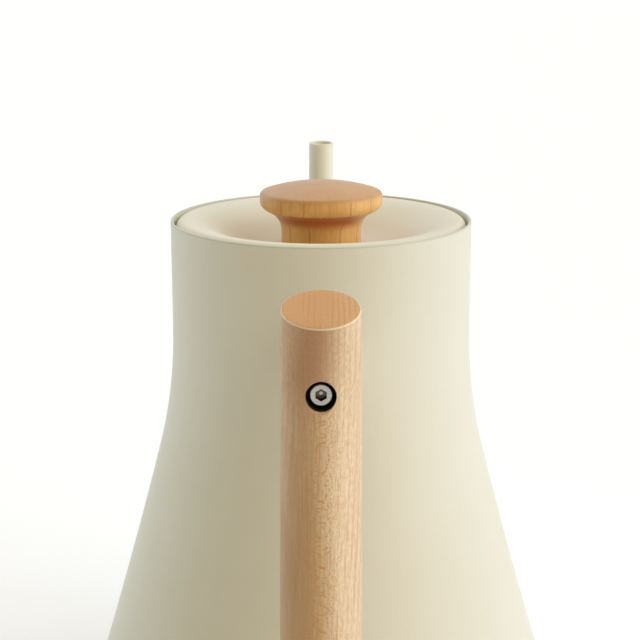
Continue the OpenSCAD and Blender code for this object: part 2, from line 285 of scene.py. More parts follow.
def scaled(tree, vector, scale, rotation=(0, 0, 0)):
    """Coordinates turned and scaled, in cycles per metre."""
    return add(tree, "Mapping", {"Vector": vector, "Scale": scale, "Rotation": rotation}).outputs[0]


def noise(tree, vector, scale, detail, roughness=0.5):
    """Value of a noise, about 0.5 on average."""
    return add(tree, "TexNoise", {"Vector": vector, "Scale": scale, "Detail": detail,
                                  "Roughness": roughness}).outputs[0]


def combined(tree, operation, first, second, third=0.0):
    """One arithmetic step on two or three values."""
    return add(tree, "Math", {0: first, 1: second, 2: third}, operation=operation).outputs[0]


def layered(tree, colour, amount, factor, over):
    """Lays a colour over another by an amount of a factor."""
    return mixed(tree, combined(tree, "MULTIPLY", factor, amount), colour, over)


def off_axis(tree, place):
    """Distance from the Z axis: the length of (x, y, 0)."""
    flat = add(tree, "VectorMath", {0: place, 1: (1, 1, 0)}, operation="MULTIPLY").outputs[0]
    return add(tree, "VectorMath", {0: flat}, operation="LENGTH").outputs["Value"]


def bumped(tree, shader, height, distance, strength):
    """Raises the surface by a height of 0..1 times a distance in metres."""
    bump = add(tree, "Bump", {"Height": height, "Distance": distance, "Strength": strength})
    tree.links.new(bump.outputs["Normal"], shader.inputs["Normal"])


# The powder coat: sprayed, baked and matt, with a fine orange peel and a very fine speckle. Its colour is
# painted greyer on the rim's tight outer rounding, a painted shade, and deeper and warmer on the dish's
# slopes, a painted shade with a painted warm reflection of the knob.
coat, tree, shader, place = new_material("cream_coat")
cream_light = (0.700, 0.666, 0.550, 1)
cream_deep = (0.675, 0.638, 0.517, 1)
rim_painted_shade = (0.470, 0.500, 0.410, 1)
dish_painted_shade = (0.625, 0.560, 0.420, 1)
rim_shade_low = rim_height - 0.00060
rim_shade_high = rim_height - 0.00035
rim_shade_inner = (0.0408, 0.0413)
rim_shade_outer = (0.0430, 0.0425)
rim_shade_amount = 0.55
dish_shade_high = rim_height - 0.0022
dish_shade_low = rim_height - 0.0068
dish_shade_outer = (0.0400, 0.0385)
dish_shade_amount = 0.90
cloud = noise(tree, place, 28, 3)
speck = noise(tree, place, 2600, 2, 0.6)
tone = combined(tree, "MULTIPLY_ADD", speck, 0.5, combined(tree, "MULTIPLY", cloud, 0.5))
cream = mixed(tree, ramped(tree, tone, 0.35, 0.65), cream_deep, cream_light)
height = add(tree, "SeparateXYZ", {0: place}).outputs["Z"]
from_axis = off_axis(tree, place)
# Painted shade: the rim's outer rounding is painted greyer.
rounding = combined(tree, "MULTIPLY", ramped(tree, height, rim_shade_low, rim_shade_high),
                    ramped(tree, from_axis, *rim_shade_inner))
rounding = combined(tree, "MULTIPLY", rounding, ramped(tree, from_axis, *rim_shade_outer))
cream = layered(tree, cream, rim_shade_amount, rounding, rim_painted_shade)
# Painted shade and a painted warm reflection: the dish's slopes are painted deeper and warmer.
dish_shade_mask = combined(tree, "MULTIPLY", ramped(tree, height, dish_shade_high, dish_shade_low),
                  ramped(tree, from_axis, *dish_shade_outer))
cream = layered(tree, cream, dish_shade_amount, dish_shade_mask, dish_painted_shade)
tree.links.new(cream, shader.inputs["Base Color"])
tree.links.new(ramped(tree, speck, 0.3, 0.7, 0.50, 0.62), shader.inputs["Roughness"])
shader.inputs["Specular IOR Level"].default_value = 0.35
peel = combined(tree, "MULTIPLY_ADD", noise(tree, place, 900, 2), 0.6,
                combined(tree, "MULTIPLY", speck, 0.4))
bumped(tree, shader, peel, 0.00006, 0.8)


brush_stretch = 70


def brushed(name, dark, light, line_scale, roughness):
    """Bare metal brushed round the Z axis: noise that runs slowly along X and Y, and fast along both
    the height and the distance from the axis, darkens it, roughens it and cuts fine lines."""
    material, tree, shader, place = new_material(name)
    axes = add(tree, "SeparateXYZ", {0: place})
    depth = combined(tree, "ADD", off_axis(tree, place), axes.outputs["Z"])
    lines = add(tree, "CombineXYZ", {"X": axes.outputs["X"], "Y": axes.outputs["Y"],
                                     "Z": combined(tree, "MULTIPLY", depth, brush_stretch)}).outputs[0]
    streak = noise(tree, lines, line_scale, 4, 0.65)
    cloud = noise(tree, place, 45, 3)
    tree.links.new(mixed(tree, ramped(tree, streak, 0.3, 0.7), dark, light), shader.inputs["Base Color"])
    wear = combined(tree, "MULTIPLY_ADD", cloud, 0.5, combined(tree, "MULTIPLY", streak, 0.5))
    tree.links.new(ramped(tree, wear, 0.35, 0.65, roughness - 0.07, roughness + 0.09),
                   shader.inputs["Roughness"])
    shader.inputs["Metallic"].default_value = 1.0
    bumped(tree, shader, streak, 0.000012, 0.6)
    return material


steel = brushed("brushed_steel", (0.40, 0.40, 0.40, 1), (0.62, 0.62, 0.61, 1), 55, 0.33)
rim_centre = (neck_r - wall / 2, rim_z - wall / 2)
coat_line = np.concatenate([
    [[neck_r - wall, rim_z - coat_inside]], arc(rim_centre, wall / 2, 180, 0, 12), side_line(coat_inset),
    side_line(coat_t)[::-1], arc(rim_centre, wall / 2 - coat_t, 0, 180, 12),
    [[neck_r - wall + coat_t, rim_z - coat_inside]]])
steel_line = np.concatenate([
    arc(rim_centre, wall / 2 - coat_t, 180, 0, 10), side_line(coat_t), side_line(wall)[::-1]])
inlet_angle = math.asin((side_centre[1] - inlet_z) / side_curve)
inlet = np.array([side_centre[0] - side_curve * math.cos(inlet_angle), inlet_z])
inlet_heading = np.array([math.cos(inlet_angle), math.sin(inlet_angle)])
inlet_bit = stood(rod(inlet_d / 2, -inlet_d, inlet_d), inlet, inlet_heading)
body_coat = drilled(skinned("body_coat", turned(coat_line, 256)), inlet_bit)
body_steel = drilled(skinned("body_steel", turned(steel_line, 256)), inlet_bit)
fitted(body_coat, "kettle", coat, "cream_coat", "body_shell")
fitted(body_steel, "kettle", steel, "steel", "body_shell")


# Base: a steel floor welded on the lip, an aluminium disc that spreads the heat, and a pressed
# steel cap brazed over it. The cap has a rounded edge and a faintly raised middle.
aluminium = brushed("rolled_aluminium", (0.55, 0.56, 0.57, 1), (0.74, 0.75, 0.76, 1), 25, 0.42)
cap_edge_r = 1.2
cap_t = 0.8
cap_ring_r = 46.0
cap_ring_w = 1.6
cap_ring_depth = 0.35
cap_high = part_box("base_cap")[1] / MM
cap_r = cap_high.x
cap_line = np.concatenate([
    [[0, cap_ring_depth], [cap_ring_r - cap_ring_w, cap_ring_depth], [cap_ring_r, 0]],
    arc((cap_r - cap_edge_r, cap_edge_r), cap_edge_r, -90, 0, 8),
    [[cap_r, cap_high.z], [cap_r - cap_t, cap_high.z]],
    arc((cap_r - cap_edge_r, cap_edge_r), cap_edge_r - cap_t, 0, -90, 6),
    [[0, cap_t]]])
base_cap = skinned("base_cap_shell", turned(cap_line, 256), loop=False)
fitted(base_cap, "kettle", steel, "steel", "base_cap")
dressed("bottom_pan", steel)
dressed("heat_disc", aluminium)


# Spout: a drawn cone welded over the inlet and a bent steel tube that tapers to a level cut tip.
# The weld is dressed to a smooth fillet, and both are coated with the body.
root_d = 21.0
root_l = 16.0
tube_low_r = 6.0
tube_tip_r = 4.1
tube_wall = 0.7
low_bend = 20.0
high_bend = 50.0
rise_angle = math.radians(82)
tip_angle = math.radians(52)
tip_lip = 0.22
tip_share = 0.3
weld_r = 1.6
root_search = 4.0
spout_steps = 96
tip_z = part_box("spout_tube")[1].z / MM


def heading(angle):
    """Unit vector (cos a, sin a)."""
    return np.stack([np.cos(angle), np.sin(angle)], axis=-1)


root_end = inlet + root_l * inlet_heading
low_centre = root_end + low_bend * heading(inlet_angle + math.pi / 2)
low_end = low_centre - low_bend * heading(rise_angle + math.pi / 2)
high_rise = high_bend * (math.cos(tip_angle) - math.cos(rise_angle))
rise_l = (tip_z - high_rise - low_end[1]) / math.sin(rise_angle)
rise_end = low_end + rise_l * heading(rise_angle)
high_centre = rise_end - high_bend * heading(rise_angle + math.pi / 2)
around = np.linspace(0, 2 * np.pi, spout_steps, endpoint=False)


def hoop(centre, angle, radius):
    """Rings round a path in the plane of y and z: centre + r cos(a) across the path + r sin(a) along X,
    where the path runs at an angle. Centre, angle and radius are given for each row, or each point."""
    across = heading(angle + np.pi / 2)
    reach = radius * np.cos(around)
    out = centre[..., 0] + reach * across[..., 0]
    up = centre[..., 1] + reach * across[..., 1]
    return np.stack(np.broadcast_arrays(radius * np.sin(around), out, up), axis=2)


def tube_rows(thinner, top):
    """Rows of the tube's skin, thinner by an amount: the low bend's arc, the straight rise with an even
    taper, and the high bend, where each line stops at its own turn so that the end is level at top."""
    low_turn = np.linspace(inlet_angle, rise_angle, 18)[:-1, None]
    low = hoop(low_centre - low_bend * heading(low_turn + np.pi / 2), low_turn, tube_low_r - thinner)
    share = np.linspace(0, 1, 36)[:-1, None]
    rise = hoop(low_end + share[..., None] * rise_l * heading(rise_angle), rise_angle + 0 * share,
                tube_low_r + share * (tube_tip_r - tube_low_r) - thinner)
    r = tube_tip_r - thinner
    last_turn = np.arccos((top - high_centre[1]) / (high_bend + r * np.cos(around)))
    turn = rise_angle + np.linspace(0, 1, 22)[:, None] * (last_turn - rise_angle)
    high = hoop(high_centre + high_bend * heading(turn + np.pi / 2), turn, r)
    return np.concatenate([low, rise, high])


spout_tube = skinned("spout_tube_skin", np.concatenate([
    tube_rows(0, tip_z - tip_lip),
    tube_rows(tip_share * tip_lip, tip_z - tip_share * tip_lip)[-1:],
    tube_rows(tip_lip, tip_z)[-1:],
    tube_rows(tube_wall - tip_lip, tip_z)[-1:],
    tube_rows(tube_wall - tip_share * tip_lip, tip_z - tip_share * tip_lip)[-1:],
    tube_rows(tube_wall, tip_z - tip_lip)[::-1]]))
fitted(spout_tube, "kettle", coat, "cream_coat", "spout_tube")


def root_radius(s, start):
    """Radius of the root at a length: the tube's plus a square-law flare, plus a fillet whose section is
    a quarter circle against the body, where the line starts."""
    flare = (root_d / 2 - tube_low_r) * np.clip(1 - s / root_l, 0, 2)**2
    near = np.clip(1 - (s - start) / weld_r, 0, 1)
    return tube_low_r + flare + weld_r * (1 - np.sqrt(1 - near**2))


def root_rings(s, r):
    """Rings at lengths s and radii r round the inlet's own axis."""
    return hoop(inlet + s[..., None] * inlet_heading, inlet_angle + 0 * s, r)


def root_rows(thinner):
    """Rows of the root's skin. Each line starts where it meets the body, found by halving."""
    low = np.full((1, spout_steps), -root_search)
    high = np.full((1, spout_steps), root_search)
    for halving in range(30):
        start = (low + high) / 2
        ring = root_rings(start, root_radius(start, start) - thinner)
        outside = np.hypot(ring[..., 0], ring[..., 1]) > body_radius(ring[..., 2]) - coat_t
        high = np.where(outside, start, high)
        low = np.where(outside, low, start)
    share = np.linspace(0, 1, 30)[:, None]**1.6
    s = start + share * (root_l - start)
    return root_rings(s, root_radius(s, start) - thinner)


spout_root = skinned("spout_root_skin", np.concatenate([root_rows(0), root_rows(tube_wall)[::-1]]))
fitted(spout_root, "kettle", coat, "cream_coat", "spout_root")


# Handle arm: a coated steel tube welded to the neck with a dressed fillet. A threaded plug in its
# end takes the grip's screw, and a dowel stops the grip from turning.
grip_r = 9.8
arm_r = 7.0
arm_wall = 1.5
arm_weld_r = 2.4
socket_floor = -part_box("handle_arm")[0].y / MM
knee_z = (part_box("handle_arm")[0].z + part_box("handle_arm")[1].z) / 2 / MM
fastener_steel = brushed("fastener_steel", (0.36, 0.35, 0.33, 1), (0.56, 0.54, 0.51, 1), 90, 0.30)


def arm_rows(r, fillet):
    """Rows of a tube that runs out from the neck: (r cos a, minus the distance, axis height + r sin a).
    Each line starts on the neck's own surface, where a quarter-circle fillet widens r."""
    share = np.concatenate([[0, 0.004, 0.01, 0.02, 0.035, 0.05, 0.07, 0.09], np.linspace(0.12, 1, 12)])
    share = share[:, None]
    neck = body_radius(knee_z + r * np.sin(around)) - coat_t
    near = np.clip(1 - share * (socket_floor - neck) / arm_weld_r, 0, 1)
    reach = r + fillet * (1 - np.sqrt(1 - near**2))
    x, z = reach * np.cos(around), knee_z + reach * np.sin(around)
    start = np.sqrt((body_radius(z) - coat_t)**2 - x**2)
    return np.stack([x, -(start + share * (socket_floor - start)), z], axis=2)


handle_arm = skinned("handle_arm_tube", np.concatenate([
    arm_rows(arm_r, arm_weld_r), arm_rows(arm_r - arm_wall, 0)[::-1]]))
fitted(handle_arm, "kettle", coat, "cream_coat", "handle_arm")
dressed("arm_plug", fastener_steel)
dressed("grip_pin", fastener_steel)


# Grip: one turned and steam-bent length of pale oiled beech, cut on the quarter. Its top is cut flat
# with a broken edge, it bends once at the screw, and it leans out below. A socket and a pin hole
# are bored behind the knee, and a counterbore for the screw's head in front of it.
grip_top_r = 9.5
grip_end_r = 2.5
grip_edge_r = 0.45
top_lean = math.radians(15.8)
low_lean = math.radians(17)
knee_bend = 40.0
low_l = 80.0
top_l = 9.5
arm_seat = 5.5
counterbore_l = 5.3
counterbore_d = 7.2
counterbore_edge = 0.3
counterbore_sink = 0.15
screw_clear_d = 3.4
socket_slack = 0.1
socket_gap = 0.05
pin_d = 2.0
pin_slack = 0.1
pin_l = 8.0
knee_r = socket_floor + socket_gap - arm_seat + grip_r
knee_centre = np.array([knee_r + knee_bend, knee_z])
knee_l = knee_bend * (top_lean + low_lean)
grip_l = low_l + knee_l + top_l
pin_z = (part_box("grip_pin")[0].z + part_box("grip_pin")[1].z) / 2 / MM
grip_steps = 160


def grip_rings(s, r):
    """Rings along the grip at lengths s from its lower end. The lean runs evenly through the knee, and
    the centre is the knee's arc plus whatever length is straight, before it or after it."""
    lean = -low_lean + np.clip((s - low_l) / knee_bend, 0, top_lean + low_lean)
    along = np.stack([np.sin(lean), np.cos(lean)], axis=1)
    outward = np.stack([np.cos(lean), -np.sin(lean)], axis=1)
    straight = s - np.clip(s, low_l, low_l + knee_l)
    centre = knee_centre - knee_bend * outward + straight[:, None] * along
    a = np.linspace(0, 2 * np.pi, grip_steps, endpoint=False)
    out = centre[:, :1] + r[:, None] * np.cos(a) * outward[:, :1]
    up = centre[:, 1:] + r[:, None] * np.cos(a) * outward[:, 1:]
    return np.stack([r[:, None] * np.sin(a), -out, up], axis=2)


def back_bit(radius, low, high, height=knee_z):
    """Grid of a bar that runs towards the handle between two distances from the body's axis."""
    return stood(rod(radius, low, high), (0, height), (-1, 0))


grip_line = np.concatenate([
    [[0, 0], [0, 3], [0, 5.5]],
    arc((grip_end_r, grip_r - grip_end_r), grip_end_r, 180, 90, 8),
    np.stack([np.linspace(4, low_l, 48), np.full(48, grip_r)], axis=1),
    np.stack([np.linspace(low_l, low_l + knee_l, 20)[1:], np.full(19, grip_r)], axis=1),
    np.stack([np.linspace(low_l + knee_l, grip_l - grip_edge_r, 8)[1:-1],
              np.linspace(grip_r, grip_top_r, 8)[1:-1]], axis=1),
    arc((grip_l - grip_edge_r, grip_top_r - grip_edge_r), grip_edge_r, 90, 0, 5),
    [[grip_l, 6], [grip_l, 3], [grip_l, 0]]])
mouth = knee_r + grip_r
screw_seat = mouth - counterbore_l
edge_z = mouth - counterbore_sink
counterbore_line = np.array([
    [0, screw_seat], [counterbore_d / 2, screw_seat], [counterbore_d / 2, edge_z - counterbore_edge],
    [counterbore_d / 2 + counterbore_edge + 2, edge_z + 2], [0, edge_z + 2]])
grip = drilled(
    skinned("handle_grip_wood", grip_rings(grip_line[:, 0], grip_line[:, 1]), loop=False),
    stood(turned(counterbore_line, 96), (0, knee_z), (-1, 0)),
    back_bit(arm_r + socket_slack / 2, socket_floor - 3 * grip_r, socket_floor + socket_gap),
    back_bit(screw_clear_d / 2, socket_floor - 1, screw_seat + 1),
    back_bit((pin_d + pin_slack) / 2, socket_floor - 1, socket_floor + pin_l / 2, pin_z))


def striped(tree, vector, scales, low, high, detail):
    """A noise stretched along each axis by its own scale, and sharpened between two levels."""
    return ramped(tree, noise(tree, scaled(tree, vector, scales), 1.0, detail), low, high)


def ring_lines(tree, distance, spacing, low):
    """Thin lines where a distance passes each multiple of the spacing: the crests of its cosine."""
    turn = combined(tree, "MULTIPLY", distance, 2 * math.pi / spacing)
    return ramped(tree, combined(tree, "COSINE", turn, 0), low, 1.0)


# Its wood: growth rings run as lines up the sides and across the cut top, and layers of rays parallel to
# the front are cut as a ladder of dashes up the middle. Above the knee the surface is redder, the cut top
# drinks the most oil and its broken edge is pale. Painted shade: the lower grip is painted darker on its
# left side, away from the light, and the counterbore's wall is painted near black.
grip_wood, tree, shader, place = new_material("oiled_beech")
wood_pale = (0.790, 0.620, 0.420, 1)
wood_warm = (0.510, 0.325, 0.165, 1)
wood_line = (0.500, 0.270, 0.130, 1)
wood_fleck = (0.560, 0.250, 0.070, 1)
wood_heart = (0.360, 0.165, 0.070, 1)
wood_end = (0.590, 0.300, 0.092, 1)
wood_edge = (0.850, 0.700, 0.470, 1)
bore_painted_shade = (0.012, 0.005, 0.003, 1)
grain_drift = 0.05
line_spacing = 0.0013
ray_spacing = 0.00024
streak_x = -0.0030
streak_drift = 0.10
streak_w = 0.0085
screw_z = knee_z * MM
top_middle = grip_rings(np.array([grip_l]), np.array([0.0]))[0, 0] * MM
top_heading = (0, -math.sin(top_lean), math.cos(top_lean))
axes = add(tree, "SeparateXYZ", {0: place})
fibre = scaled(tree, place, (1, 1, 1), rotation=(low_lean, 0, 0))
fibre_axes = add(tree, "SeparateXYZ", {0: fibre})
fall = combined(tree, "SUBTRACT", axes.outputs["Z"], screw_z)
warp = noise(tree, scaled(tree, fibre, (70, 35, 20)), 1, 2)
warp = combined(tree, "MULTIPLY_ADD", warp, 0.0030, -0.0015)
drift = combined(tree, "MULTIPLY", combined(tree, "MINIMUM", fall, 0), grain_drift)
ring_x = combined(tree, "SUBTRACT", combined(tree, "ADD", axes.outputs["X"], warp), drift)
rings = ring_lines(tree, ring_x, line_spacing, 0.20)
rings = combined(tree, "MULTIPLY", rings, striped(tree, fibre, (300, 60, 22), 0.30, 0.66, 2))
fine = striped(tree, fibre, (2600, 2600, 90), 0.35, 0.70, 3)
stipple = striped(tree, fibre, (1700, 1700, 620), 0.42, 0.64, 2)
broad = striped(tree, fibre, (130, 70, 14), 0.36, 0.64, 2)
pores = striped(tree, fibre, (4600, 4600, 420), 0.64, 0.72, 1)
left = ramped(tree, axes.outputs["X"], 0.0050, -0.0030)
below = ramped(tree, fall, 0.001, -0.006, 0.05, 1.0)
sag = noise(tree, scaled(tree, fibre, (60, 60, 460)), 1, 0)
sag = combined(tree, "MULTIPLY_ADD", sag, 0.00085, fibre_axes.outputs["Y"])
ladder = ring_lines(tree, sag, ray_spacing, 0.25)
ladder = combined(tree, "MULTIPLY", ladder, striped(tree, fibre, (700, 700, 2600), 0.47, 0.54, 0))
from_middle = combined(tree, "ABSOLUTE", axes.outputs["X"], 0)
ladder = combined(tree, "MULTIPLY", ladder, ramped(tree, from_middle, 0.0055, 0.0018, 0.34, 1.0))
flecks = combined(tree, "MULTIPLY", ladder, below)
streak_centre = combined(tree, "MULTIPLY_ADD", fall, streak_drift, streak_x)
from_streak = combined(tree, "ABSOLUTE", combined(tree, "SUBTRACT", ring_x, streak_centre), 0)
streak = combined(tree, "MULTIPLY", ramped(tree, from_streak, streak_w, 0.0005),
                  ramped(tree, fall, -0.010, 0.007, 0.30, 1.0))
above = add(tree, "VectorMath", {0: place, 1: tuple(top_middle)}, operation="SUBTRACT").outputs[0]
above = add(tree, "VectorMath", {0: above, 1: top_heading}, operation="DOT_PRODUCT").outputs["Value"]
on_top = ramped(tree, above, -0.00006, -0.00002)
beside_bore = add(tree, "CombineXYZ", {"X": axes.outputs["X"], "Y": fall}).outputs[0]
from_bore = add(tree, "VectorMath", {0: beside_bore}, operation="LENGTH").outputs["Value"]
tone = combined(tree, "MULTIPLY_ADD", broad, 0.25, combined(tree, "MULTIPLY", fine, 0.25))
# Painted shade: the lower grip is painted darker on its left side, away from the light.
grip_left_painted_shade = combined(tree, "MULTIPLY", left, ramped(tree, fall, -0.015, -0.050, 0.45, 0.85))
tone = combined(tree, "ADD", tone, grip_left_painted_shade)
tone = mixed(tree, tone, wood_pale, wood_warm)
tone = layered(tree, tone, 0.40, rings, wood_line)
tone = layered(tree, tone, 0.30, stipple, wood_line)
tone = layered(tree, tone, 0.20, ramped(tree, fall, -0.008, 0.008), wood_warm)
tone = layered(tree, tone, 0.78, streak, wood_heart)
tone = layered(tree, tone, 0.74, flecks, wood_fleck)
tone = layered(tree, tone, 0.25, pores, wood_fleck)
tone = layered(tree, tone, 0.80, on_top, wood_end)
tone = layered(tree, tone, 0.28, combined(tree, "MULTIPLY", rings, on_top), wood_heart)
edge = combined(tree, "MULTIPLY", ramped(tree, above, -0.00060, -0.00035),
                ramped(tree, above, -0.00004, -0.00012))
tone = layered(tree, tone, 0.75, edge, wood_edge)
# Painted shade: the counterbore's wall is painted near black.
tone = layered(tree, tone, 0.97, ramped(tree, from_bore, 0.00378, 0.00364), bore_painted_shade)
tree.links.new(tone, shader.inputs["Base Color"])
tree.links.new(ramped(tree, fine, 0, 1, 0.48, 0.62), shader.inputs["Roughness"])
shader.inputs["Specular IOR Level"].default_value = 0.35
relief = combined(tree, "MULTIPLY_ADD", pores, 1.2, combined(tree, "MULTIPLY", flecks, 0.4))
bumped(tree, shader, combined(tree, "SUBTRACT", stipple, relief), 0.00004, 0.7)
fitted(grip, "kettle", grip_wood, "grip_wood", "handle_grip")


# Grip screw: an M3 socket-head screw on a plain washer, at the bottom of the counterbore. Its head has
# a rounded edge, a fine knurl and a hexagon socket with a drilled bottom, and its thread is rolled.
m3_r = 1.5
m3_head_r = 2.75
m3_head_h = 3.0
m3_socket = 1.25
m3_socket_depth = 1.6
m3_length = 20.0
m3_pitch = 0.5
thread_depth = 0.613
tip_taper = 0.25
knurl_teeth = 32
knurl_depth = 0.022
head_edge = 0.35
screw_steps = 192


def socket_screw(head_r, head_h, socket_r, socket_depth, thread_r, length, pitch):
    """Grid of a socket-head screw that stands on its head's seat. The socket's rows have the radius
    apothem / cos((a + 30) mod 60 - 30), the knurl adds a fine wave, and the thread is a triangle wave of
    height / pitch - a / 360, faded out at both ends. The last turn tapers towards the tip."""
    a = np.linspace(0, 2 * np.pi, screw_steps, endpoint=False)
    hexagon = 1 / np.cos(np.mod(a + np.pi / 6, np.pi / 3) - np.pi / 6)
    knurl = 1 - knurl_depth * (1 + np.cos(knurl_teeth * a)) / 2
    floor_z = head_h - socket_depth
    socket = turned([(0, floor_z - 0.35), (0.5 * socket_r, floor_z), (socket_r - 0.01, floor_z)],
                    screw_steps)
    walls = turned([(socket_r, floor_z), (socket_r, head_h - 0.12), (socket_r + 0.1, head_h)],
                   screw_steps, hexagon)
    crown = turned(np.concatenate([[[0.5 * (socket_r + head_r), head_h]],
                                   arc((head_r - head_edge, head_h - head_edge), head_edge, 90, 0, 6)]),
                   screw_steps)
    side = turned([(head_r, head_h - head_edge - 0.15), (head_r, 0.35)], screw_steps, knurl)
    seat = turned([(head_r - 0.03, 0.2), (head_r - 0.15, 0), (thread_r + 0.2, 0), (thread_r, -0.2)],
                  screw_steps)
    z = np.arange(-1.0, -length, -pitch / 6)[:, None]
    phase = np.mod(z / pitch - a / (2 * np.pi), 1)
    before_tip = np.clip((length + z) / pitch, 0, 1)
    fade = np.clip(-(z + 1) / pitch, 0, 1) * before_tip
    r = thread_r - thread_depth * pitch * np.abs(2 * phase - 1) * fade - tip_taper * (1 - before_tip)
    thread = np.stack([r * np.cos(a), r * np.sin(a), z + 0 * a], axis=2)
    tip = turned([(0, -length)], screw_steps)
    return np.concatenate([socket, walls, crown, side, seat, thread, tip])


washer_seat = -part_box("handle_washer")[1].y / MM
washer_t = 0.5
head_seat = washer_seat + washer_t
screw_grid = socket_screw(m3_head_r, m3_head_h, m3_socket, m3_socket_depth, m3_r, m3_length, m3_pitch)
grip_screw = skinned("grip_screw", stood(screw_grid, (-head_seat, knee_z), (-1, 0)), loop=False)


# Its steel: bright on the head. The socket is painted dark, a painted shade, except for the drilled spot in
# the middle. The washer is painted near black, a painted shade.
screw_steel = brushed("screw_steel", (0.34, 0.325, 0.30, 1), (0.60, 0.575, 0.53, 1), 120, 0.34)
tree = screw_steel.node_tree
shader = tree.nodes["Principled BSDF"]
place = add(tree, "TexCoord").outputs["Object"]
socket_painted_shade = (0.075, 0.058, 0.036, 1)
head_face = -(head_seat + m3_head_h) * MM
screw_axes = add(tree, "SeparateXYZ", {0: place})
across = add(tree, "CombineXYZ", {"X": screw_axes.outputs["X"],
                                  "Y": combined(tree, "SUBTRACT", screw_axes.outputs["Z"], knee_z * MM)})
across = add(tree, "VectorMath", {0: across.outputs[0]}, operation="LENGTH").outputs["Value"]
# Painted shade: the socket's floor and walls are painted dark, except for the drilled spot in the middle.
socket_shade_mask = combined(tree, "MULTIPLY", ramped(tree, across, 0.00150, 0.00146),
                     ramped(tree, screw_axes.outputs["Y"], head_face + 0.00012, head_face + 0.0004))
socket_shade_mask = combined(tree, "MULTIPLY", socket_shade_mask, ramped(tree, across, 0.00035, 0.00055))
bright = shader.inputs["Base Color"].links[0].from_socket
tree.links.new(layered(tree, bright, 0.92, socket_shade_mask, socket_painted_shade), shader.inputs["Base Color"])
fitted(grip_screw, "kettle", screw_steel, "screw_steel", "handle_screw")
# Painted shade: the washer in the counterbore is painted near black.
painted_shade_black = brushed("painted_shade_black_steel", (0.010, 0.007, 0.005, 1), (0.032, 0.022, 0.015, 1), 90, 0.45)
dressed("handle_washer", painted_shade_black)


# Lid cover: a stainless disc pressed into a dish with a rounded edge and a short skirt, drilled for
# the knob's screw and the three vents, and powder coated. It sits inside the neck.
lid_t = 0.8
lid_edge_r = 2.2
lid_skirt = 5.0
dish = 8.0
dish_floor_r = 15.5
vent_d = 2.6
vent_reach = 2.6
vent_angles = (60, 90, 120)
lid_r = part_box("lid_top")[1].x / MM
crown_r = lid_r - lid_edge_r
dish_z = rim_z - dish
screw_hole_d = 4.4


def dish_line(drop, steps=64):
    """The cover's upper face from the dish's floor to the crown, a half cosine wave in the radius."""
    r = np.linspace(dish_floor_r, crown_r, steps)
    rise = (1 - np.cos(np.pi * (crown_r - r) / (crown_r - dish_floor_r))) / 2
    return np.stack([r, rim_z - dish * rise - drop], axis=1)


lid_line = np.concatenate([
    [[0, dish_z], [5, dish_z], [10, dish_z]], dish_line(0),
    arc((crown_r, rim_z - lid_edge_r), lid_edge_r, 90, 0, 14),
    [[lid_r, rim_z - lid_skirt], [lid_r - lid_t, rim_z - lid_skirt]],
    arc((crown_r, rim_z - lid_edge_r), lid_edge_r - lid_t, 0, 90, 10),
    dish_line(lid_t)[::-1], [[0, dish_z - lid_t]]])
stem_r = 11.15
vent_ring = stem_r + vent_reach
lid_bits = [rod(screw_hole_d / 2, dish_z - dish, dish_z + dish)]
for angle in vent_angles:
    turn = math.radians(angle)
    bit = rod(vent_d / 2, dish_z - dish, dish_z + dish, 40)
    lid_bits.append(bit + vent_ring * np.array([math.cos(turn), math.sin(turn), 0]))
lid_top = drilled(skinned("lid_cover", turned(lid_line, 256), loop=False), *lid_bits)
fitted(lid_top, "lid", coat, "cream_coat", "lid_top")


# Lid pan: the lid's steel underside, with its spacer, the seat ring inside the neck that carries it,
# and a grooved silicone gasket with two soft lips.
silicone, tree, shader, place = new_material("silicone_rubber")
tree.links.new(mixed(tree, ramped(tree, noise(tree, place, 60, 3), 0.35, 0.65),
                     (0.66, 0.655, 0.62, 1), (0.72, 0.715, 0.69, 1)), shader.inputs["Base Color"])
shader.inputs["Roughness"].default_value = 0.55
shader.inputs["Subsurface Weight"].default_value = 0.1
shader.inputs["Subsurface Scale"].default_value = 0.002
bumped(tree, shader, noise(tree, place, 1800, 3), 0.00003, 0.6)
for node in ("lid_pan", "lid_spacer", "lid_seat_ring"):
    dressed(node, steel)
gasket_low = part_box("lid_gasket")[0].z / MM
gasket_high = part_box("lid_gasket")[1].z / MM
gasket_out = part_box("lid_gasket")[1].x / MM
pan_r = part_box("lid_pan")[1].x / MM
gasket_in = pan_r + 0.05
gasket_t = 1.1
lip_heights = (1.0, 4.0)
lip_rise = 1.0
lip_tip_r = 0.2


def lip_line(z):
    """A soft lip: out and up to a small round tip, and back."""
    return np.concatenate([[[gasket_in + gasket_t, z]],
                           arc((gasket_out - lip_tip_r, z + lip_rise + lip_tip_r), lip_tip_r, -60, 90, 5),
                           [[gasket_in + gasket_t, z + lip_rise + 2 * lip_tip_r]]])


gasket_line = np.concatenate([
    [[gasket_in, gasket_low], [gasket_in + gasket_t, gasket_low]],
    *(lip_line(gasket_low + height) for height in lip_heights),
    [[gasket_in + gasket_t - 0.2, gasket_high], [gasket_in, gasket_high]]])
lid_gasket = skinned("lid_gasket_ring", turned(gasket_line, 192))
fitted(lid_gasket, "lid", silicone, "silicone", "lid_gasket")


